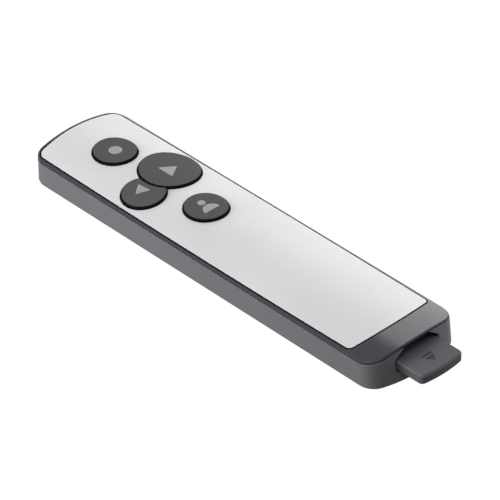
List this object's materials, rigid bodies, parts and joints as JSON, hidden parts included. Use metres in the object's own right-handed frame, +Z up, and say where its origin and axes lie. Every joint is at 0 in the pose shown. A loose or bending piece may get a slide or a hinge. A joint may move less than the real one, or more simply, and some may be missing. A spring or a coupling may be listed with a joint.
{
  "type": "wireless presentation clicker",
  "caption": "Slim bar-shaped wireless presentation remote with a crowned metal face, round push buttons and a pull-out USB receiver stored in one end.",
  "frame": {"origin": "on the underside, in the middle of the casing's length and width", "axes": "+X across the casing, +Y towards the laser end (the receiver comes out at -Y), +Z up out of the button face"},
  "size_m": [0.0325, 0.1429, 0.0108],
  "materials": {
    "case": "satin moulded",
    "frame": "high gloss",
    "plate": "fine brushed, anodised silver",
    "film": "black adhesive foam",
    "buttons": "soft-touch matte with printed symbols",
    "plungers": "plain moulded",
    "switches": "plain moulded",
    "board": "green solder mask over glass fibre",
    "chip": "moulded epoxy",
    "crystal": "nickel-plated can",
    "antenna": "white fired body",
    "laser": "turned",
    "lens": "clear",
    "cell": "stainless can",
    "springs": "nickel-plated spring strip",
    "cover": "satin moulded",
    "receiver": "satin moulded",
    "tongue": "black solder mask",
    "gold": "gold-plated",
    "bay": "plain moulded",
    "screws": "black-plated steel",
    "knob": "satin moulded"
  },
  "bodies": {
    "casing": {"lower_case": "case", "top_frame": "frame", "face_plate": "plate", "plate_film": "film", "button_switches": "switches", "main_board": "board", "radio_chip": "chip", "crystal": "crystal", "antenna": "antenna", "power_switch": "switches", "laser_module": "laser", "laser_lens": "lens", "coin_cell": "cell", "battery_contacts": "springs", "receiver_bay": "bay", "case_screws": "screws"},
    "laser_key": {"laser_button": "buttons", "laser_plunger": "plungers"},
    "next_key": {"next_button": "buttons", "next_plunger": "plungers"},
    "back_key": {"back_button": "buttons", "back_plunger": "plungers"},
    "presenter_key": {"presenter_button": "buttons", "presenter_plunger": "plungers"},
    "receiver": {"receiver_cap": "receiver", "receiver_board": "tongue", "receiver_contacts": "gold"},
    "cover": {"battery_cover": "cover"},
    "power": {"power_knob": "knob"}
  },
  "joints": [
    {"name": "laser_press", "type": "slide", "parent": "casing", "child": "laser_key", "axis": [0, 0, -1], "range_m": [0, 0.0004], "stiffness_N_per_m": 2500},
    {"name": "next_press", "type": "slide", "parent": "casing", "child": "next_key", "axis": [0, 0, -1], "range_m": [0, 0.0004], "stiffness_N_per_m": 2500},
    {"name": "back_press", "type": "slide", "parent": "casing", "child": "back_key", "axis": [0, 0, -1], "range_m": [0, 0.0004], "stiffness_N_per_m": 2500},
    {"name": "presenter_press", "type": "slide", "parent": "casing", "child": "presenter_key", "axis": [0, 0, -1], "range_m": [0, 0.0004], "stiffness_N_per_m": 2500},
    {"name": "receiver_slide", "type": "slide", "parent": "casing", "child": "receiver", "axis": [0, -1, 0], "range_m": [-0.0079, 0.0262]},
    {"name": "cover_turn", "type": "hinge", "parent": "casing", "child": "cover", "pos_m": [0, -0.017, 0], "axis": [0, 0, 1], "range_deg": [0, 50]},
    {"name": "power_slide", "type": "slide", "parent": "casing", "child": "power", "axis": [0, 1, 0], "range_m": [0, 0.003]}
  ]
}
